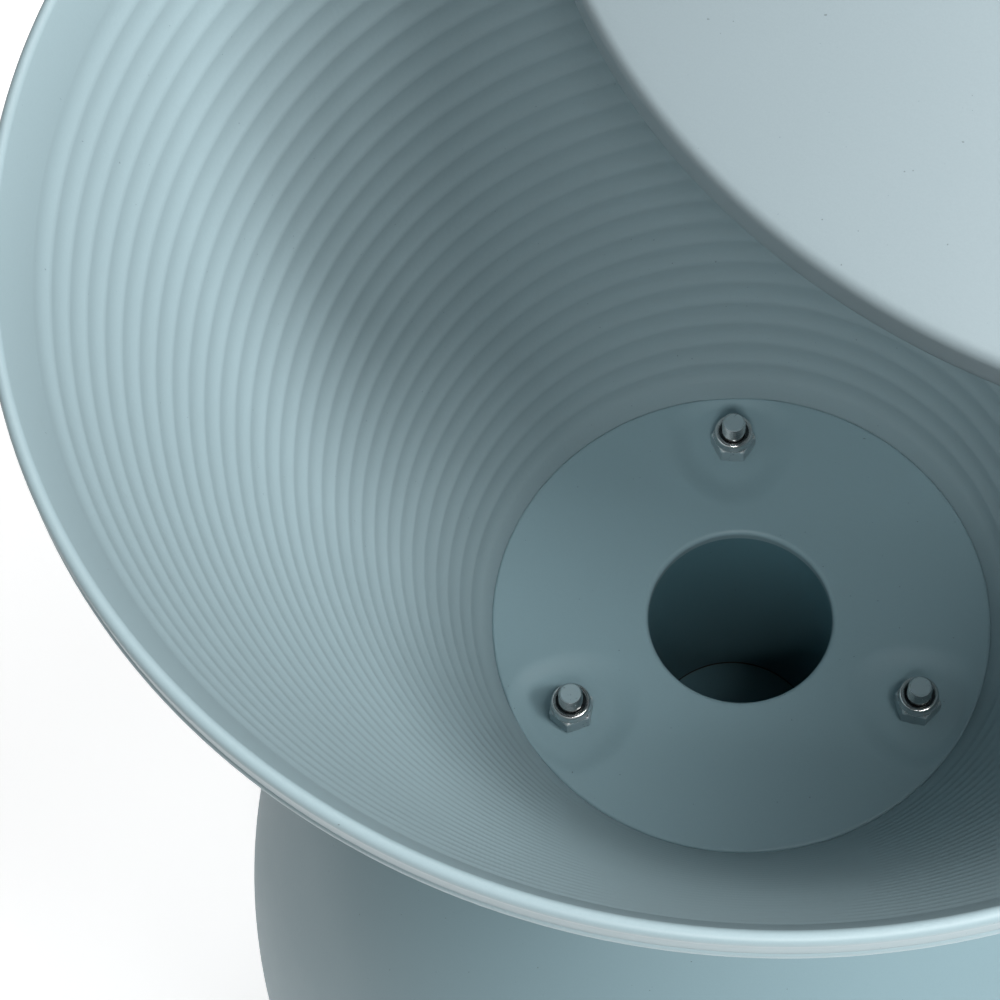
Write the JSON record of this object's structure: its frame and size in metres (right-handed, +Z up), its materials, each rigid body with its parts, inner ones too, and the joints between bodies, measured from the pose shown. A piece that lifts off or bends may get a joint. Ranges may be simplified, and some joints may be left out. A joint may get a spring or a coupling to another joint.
{
  "type": "horn loudspeaker",
  "caption": "Upward-firing horn loudspeaker: ribbed conical bell on an egg-shaped housing with a compression driver, and a domed deflector that swings over the mouth on a side post.",
  "frame": {"origin": "centre of the base pad's underside, on the horn's axis", "axes": "+Z up along the horn axis, +Y towards the cable gland at the back, +X to the right seen from the front"},
  "size_m": [0.4009, 0.3731, 0.6249],
  "materials": {
    "coat": "satin blue-grey powder coat",
    "bright_steel": "zinc plated",
    "nylon": "dark nylon",
    "rubber": "matt black",
    "cork": "matt gasket sheet",
    "cast": "cast aluminium",
    "ferrite": "ceramic ferrite",
    "iron": "cast iron",
    "foil": "bright foil",
    "copper": "enamelled copper wire",
    "board": "laminate board",
    "can": "film capacitor sleeve",
    "block": "pale nylon",
    "bronze": "oiled bronze",
    "brass": "tinned brass"
  },
  "bodies": {
    "stand": {"base_pad": "rubber", "base_plate": "coat", "base_gasket": "cork", "base_screws": "bright_steel", "housing_shell": "coat", "housing_top_ring": "coat", "neck_gasket": "cork", "neck_collar": "coat", "bell": "coat", "end_plate": "coat", "throat_tube": "coat", "throat_top_flange": "coat", "throat_foot_flange": "coat", "mounting_studs": "bright_steel", "stud_nuts": "bright_steel", "nut_inserts": "nylon", "stud_back_nuts": "bright_steel", "driver_gasket": "cork", "driver_front_plate": "coat", "phase_plug": "nylon", "clamp_ring": "cast", "magnet_top_plate": "iron", "magnet_ring": "ferrite", "pole_yoke": "iron", "driver_rear_cap": "nylon", "rear_cap_screws": "bright_steel", "motor_screws": "bright_steel", "driver_bolts": "bright_steel", "driver_terminals": "brass", "board_pillars": "bright_steel", "crossover_board": "board", "board_screws": "bright_steel", "coil_bobbin": "nylon", "crossover_coil": "copper", "crossover_capacitor": "can", "terminal_block": "block", "gland_body": "nylon", "gland_locknut": "nylon", "gland_seal": "rubber", "deflector_post": "coat", "post_washer": "bright_steel", "post_nut": "bright_steel", "post_collar": "coat", "collar_set_screw": "bright_steel", "swivel_washer": "nylon", "post_cap": "coat"},
    "deflector": {"swivel_hub": "coat", "hub_bush": "bronze", "deflector_arm": "coat", "arm_screws": "bright_steel", "deflector_dome": "coat", "deflector_stem": "coat", "stem_screw": "bright_steel", "dome_screw": "bright_steel"},
    "thumb_screw": {"thumb_screw": "bright_steel", "thumb_knob": "nylon"},
    "diaphragm": {"diaphragm": "foil", "voice_coil_former": "foil", "voice_coil": "copper"},
    "gland_nut": {"gland_nut": "nylon"}
  },
  "joints": [
    {"name": "deflector_swivel", "type": "hinge", "parent": "stand", "child": "deflector", "pos_m": [0.1403, -0.081, 0.5692], "axis": [0, 0, 1], "range_deg": [-100, 47.4]},
    {"name": "thumb_screw_turn", "type": "hinge", "parent": "deflector", "child": "thumb_screw", "pos_m": [0.1403, -0.081, 0.5892], "axis": [0.2181, -0.9759, 0], "range_deg": [0, 720]},
    {"name": "diaphragm_travel", "type": "slide", "parent": "stand", "child": "diaphragm", "axis": [0, 0, 1], "range_m": [-0.0004, 0.0004], "stiffness_N_per_m": 3000},
    {"name": "gland_nut_turn", "type": "hinge", "parent": "stand", "child": "gland_nut", "pos_m": [0, 0.1515, 0.07], "axis": [0, 1, 0], "range_deg": [0, 720]}
  ]
}
